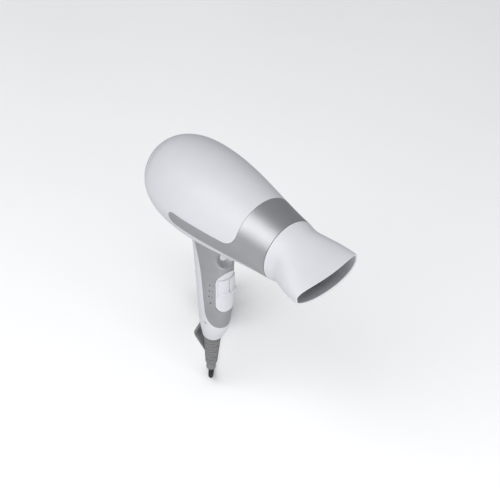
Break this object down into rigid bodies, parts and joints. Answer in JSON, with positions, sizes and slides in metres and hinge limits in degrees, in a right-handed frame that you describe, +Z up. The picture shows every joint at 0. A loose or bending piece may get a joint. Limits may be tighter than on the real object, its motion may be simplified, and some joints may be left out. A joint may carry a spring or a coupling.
{
  "type": "hair dryer",
  "caption": "Hand-held hair dryer with a tapering barrel, turning slot nozzle, sprung button, two sliders, hanging loop and corded plug.",
  "frame": {"origin": "middle of the grip, on the handle's centre line", "axes": "+X the way the air blows, along the barrel; +Z up, from the grip to the barrel; +Y to the left"},
  "size_m": [0.2944, 0.1798, 0.3199],
  "materials": {
    "white_plastic": "glossy moulded white with a faint cool cast",
    "silver_paint": "fine metallic silver lacquer on plastic, satin gloss",
    "grey_rubber": "matt mid grey flexible moulding",
    "dark_plastic": "matt heat-proof black moulding",
    "filter_mesh": "fine woven dust mesh",
    "cord_black": "satin black flexible sheath",
    "steel": "bright zinc-plated steel",
    "brass": "plated brass",
    "mica": "layered mica sheet",
    "heating_wire": "dull resistance wire",
    "board_green": "solder-masked board",
    "capacitor_yellow": "dipped box capacitor"
  },
  "bodies": {
    "housing": {"handle_shell": "white_plastic", "barrel_top_shell": "white_plastic", "front_band": "silver_paint", "handle_front_panel": "silver_paint", "outlet_grille": "dark_plastic", "mica_sleeve": "mica", "mica_board_upright": "mica", "mica_board_flat": "mica", "heating_coil": "heating_wire", "thermostat": "dark_plastic", "thermal_fuse": "steel", "fan_motor": "steel", "fan_housing": "dark_plastic", "switch_plate": "white_plastic", "heat_switch": "dark_plastic", "speed_switch": "dark_plastic", "circuit_board": "board_green", "capacitor": "capacitor_yellow", "cool_shot_switch": "dark_plastic", "cool_shot_spring": "steel", "cord_guard": "grey_rubber", "cord_clamp": "dark_plastic", "clamp_screw_right": "steel", "clamp_screw_left": "steel", "cord_tube": "cord_black", "cord_hank": "cord_black", "cord_tie": "cord_black", "cord_tail": "cord_black", "plug_body": "cord_black", "plug_blade_a": "brass", "plug_blade_b": "brass"},
    "collar": {"nozzle_collar": "dark_plastic"},
    "nozzle": {"nozzle_shell": "white_plastic"},
    "grille": {"rear_grille": "white_plastic", "inlet_filter": "filter_mesh"},
    "heat_control": {"heat_slider": "white_plastic"},
    "speed_control": {"speed_slider": "white_plastic"},
    "cool_shot": {"cool_shot_button": "white_plastic"},
    "fan": {"fan_impeller": "dark_plastic", "motor_shaft": "steel"}
  },
  "joints": [
    {"name": "nozzle_pull", "type": "slide", "parent": "housing", "child": "collar", "axis": [1, 0, 0], "range_m": [0, 0.025]},
    {"name": "nozzle_turn", "type": "hinge", "parent": "collar", "child": "nozzle", "pos_m": [0.102, 0, 0.115], "axis": [1, 0, 0], "continuous": true},
    {"name": "grille_pull", "type": "slide", "parent": "housing", "child": "grille", "axis": [-1, 0, 0], "range_m": [0, 0.03]},
    {"name": "heat_slide", "type": "slide", "parent": "housing", "child": "heat_control", "axis": [-0.0629, 0, 0.998], "range_m": [-0.0078, 0.0078]},
    {"name": "speed_slide", "type": "slide", "parent": "housing", "child": "speed_control", "axis": [-0.0629, 0, 0.998], "range_m": [-0.0078, 0.0078]},
    {"name": "cool_shot_press", "type": "slide", "parent": "housing", "child": "cool_shot", "axis": [-1, 0, 0], "range_m": [0, 0.0018], "stiffness_N_per_m": 400},
    {"name": "fan_spin", "type": "hinge", "parent": "housing", "child": "fan", "pos_m": [0.102, 0, 0.115], "axis": [1, 0, 0], "continuous": true}
  ]
}
